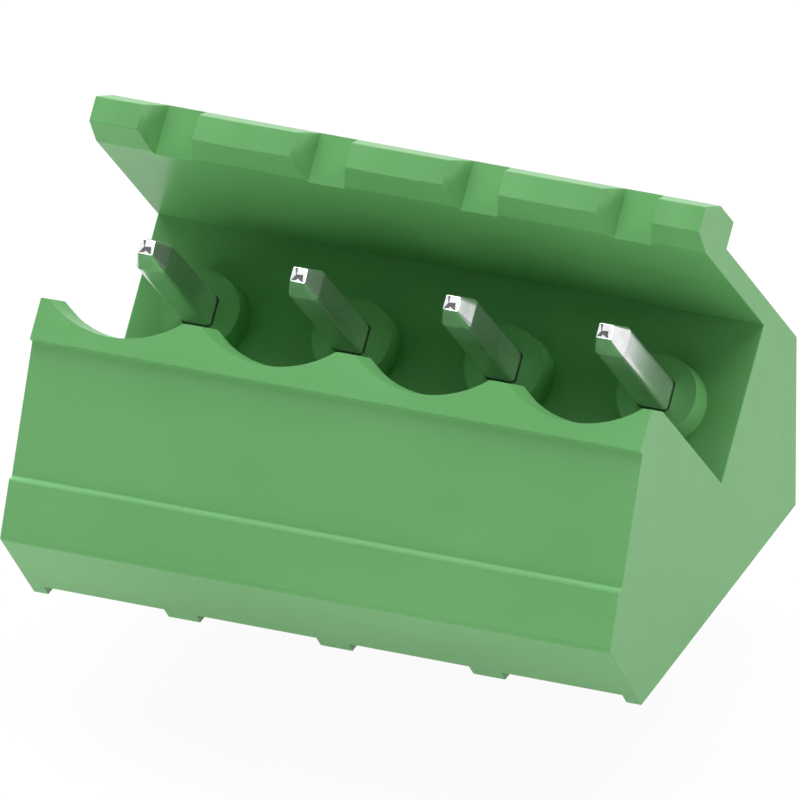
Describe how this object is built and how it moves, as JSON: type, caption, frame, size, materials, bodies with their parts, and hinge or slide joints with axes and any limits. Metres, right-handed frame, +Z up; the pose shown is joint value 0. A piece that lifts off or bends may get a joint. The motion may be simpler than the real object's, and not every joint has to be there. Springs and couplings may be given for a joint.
{
  "type": "slanted pin header",
  "caption": "Slanted circuit-board pin header: a moulded green housing, open at both ends, around bent square pins that a plug-in screw terminal block slides onto",
  "frame": {"origin": "On the circuit board's top face, under the middle of the row, in line with the solder tails", "axes": "+X along the row of pins, +Y to the rear face, +Z up from the board; the cavity's mouth faces -Y and +Z, at 45 degrees to both"},
  "size_m": [0.0202, 0.0165, 0.0183],
  "materials": {
    "housing_plastic": "satin moulded polyamide, mid green",
    "pin_tin": "bright tin plating on brass wire"
  },
  "bodies": {
    "root": {"housing": "housing_plastic", "pin_1": "pin_tin", "pin_2": "pin_tin", "pin_3": "pin_tin", "pin_4": "pin_tin"}
  },
  "joints": []
}
